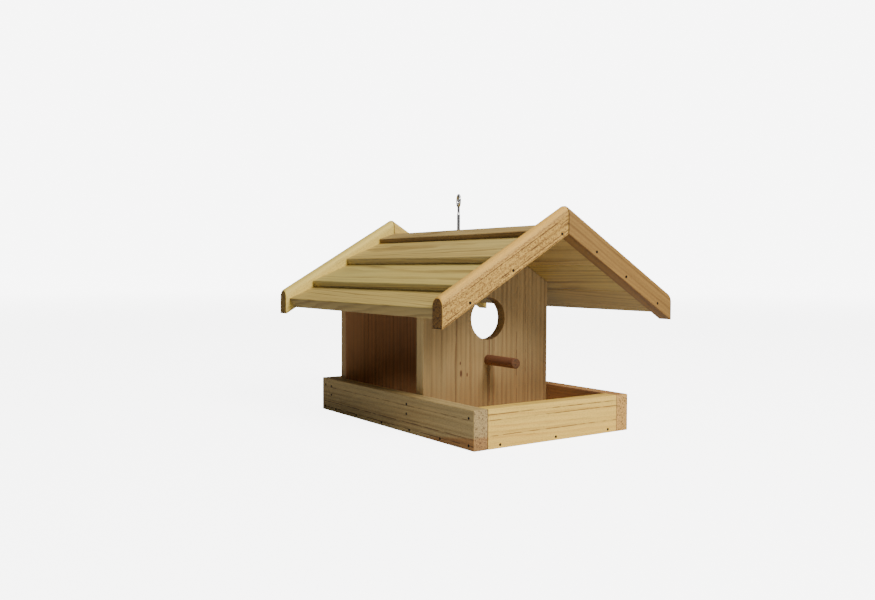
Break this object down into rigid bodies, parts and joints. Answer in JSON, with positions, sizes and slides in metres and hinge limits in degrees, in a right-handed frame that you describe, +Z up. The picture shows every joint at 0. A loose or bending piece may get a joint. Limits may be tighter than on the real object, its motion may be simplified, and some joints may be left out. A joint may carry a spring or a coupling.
{
  "type": "hanging bird feeder",
  "caption": "Wooden hanging bird feeder: open-sided house on a shallow seed tray, lapped-board gable roof, round entrance hole, perch and screw eye to hang it by.",
  "frame": {"origin": "centre of the tray's underside", "axes": "+X across the gables to the right of the entrance, +Y along the ridge away from the entrance gable, +Z up"},
  "size_m": [0.3266, 0.366, 0.2778],
  "materials": {
    "tray_wood": "planed, unfinished softwood",
    "wall_wood": "planed, unfinished softwood",
    "dowel_wood": "turned hardwood, unfinished",
    "roof_wood": "planed, unfinished softwood",
    "barge_wood": "rough-sawn, unfinished softwood",
    "eye_steel": "bright zinc plate",
    "nail_steel": "dull, darkened"
  },
  "bodies": {
    "root": {"tray_floor": "tray_wood", "tray_side_left": "tray_wood", "tray_side_right": "tray_wood", "tray_end_front": "tray_wood", "tray_end_back": "tray_wood", "front_gable_wall": "wall_wood", "back_gable_wall": "wall_wood", "ridge_batten": "wall_wood", "perch_dowel": "dowel_wood", "roof_board_left_1": "roof_wood", "roof_board_left_2": "roof_wood", "roof_board_left_3": "roof_wood", "roof_board_left_4": "roof_wood", "roof_board_right_1": "roof_wood", "roof_board_right_2": "roof_wood", "roof_board_right_3": "roof_wood", "roof_board_right_4": "roof_wood", "barge_board_front_left": "barge_wood", "barge_board_front_right": "barge_wood", "barge_board_back_left": "barge_wood", "barge_board_back_right": "barge_wood", "screw_eye": "eye_steel", "corner_nails": "nail_steel", "floor_nails": "nail_steel", "wall_nails": "nail_steel", "barge_nails": "nail_steel", "roof_nails": "nail_steel", "batten_nails": "nail_steel"}
  },
  "joints": []
}
